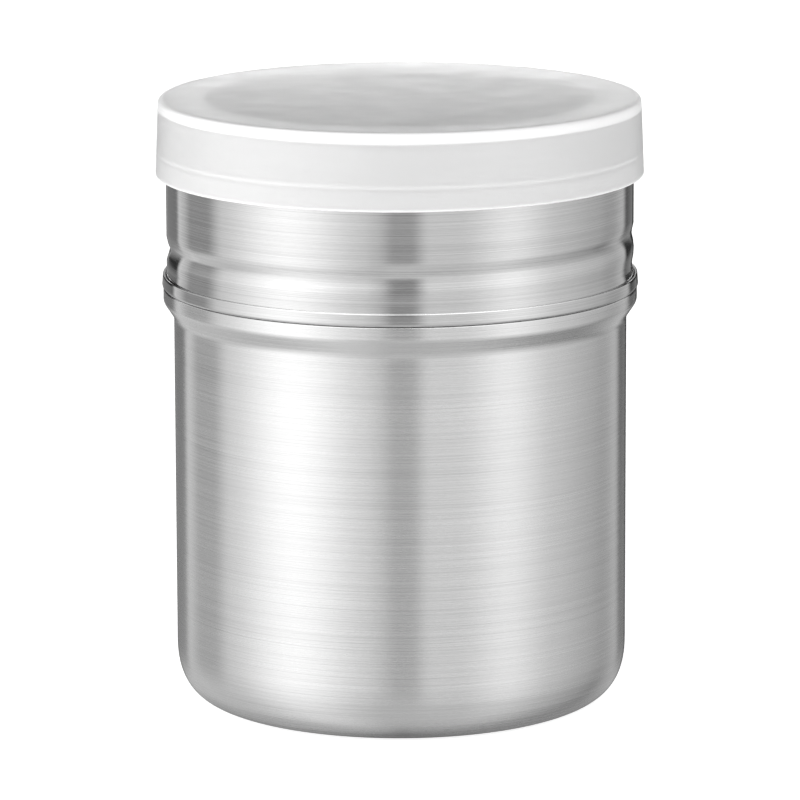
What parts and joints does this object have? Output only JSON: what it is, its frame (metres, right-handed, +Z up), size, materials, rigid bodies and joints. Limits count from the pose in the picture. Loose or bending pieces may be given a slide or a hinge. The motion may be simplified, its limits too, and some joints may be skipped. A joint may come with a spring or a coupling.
{
  "type": "pepper shaker",
  "caption": "Round brushed steel shaker cup with a screw-on lid that holds a wire sieve, under a milky push-on dust cap.",
  "frame": {"origin": "centre of the base, on the surface that the shaker stands on", "axes": "+Z up along the axis of the cup, the thread and the cap; the side in the picture faces -Y"},
  "size_m": [0.0752, 0.0752, 0.0942],
  "materials": {
    "brushed_steel": "fine brushing round the axis",
    "drawn_steel": "plain drawn sheet",
    "steel_wire": "bright wire",
    "milky_plastic": "translucent, unpigmented"
  },
  "bodies": {
    "cup": {"body_cup": "brushed_steel"},
    "lid_riser": {"screen_retaining_ring": "drawn_steel"},
    "lid": {"lid_shell": "brushed_steel", "mesh_screen": "steel_wire"},
    "cap": {"dust_cap": "milky_plastic"}
  },
  "joints": [
    {"name": "lid_rise", "type": "slide", "parent": "cup", "child": "lid_riser", "axis": [0, 0, 1], "range_m": [0, 0.0056]},
    {"name": "lid_turn", "type": "hinge", "parent": "lid_riser", "child": "lid", "pos_m": [0, 0, 0.065], "axis": [0, 0, 1], "range_deg": [0, 420]},
    {"name": "cap_pull", "type": "slide", "parent": "lid", "child": "cap", "axis": [0, 0, 1], "range_m": [0, 0.03]}
  ],
  "couplings": [
    {"joint": "lid_rise", "follows": "lid_turn", "m_per_rad": 0.00074803}
  ]
}
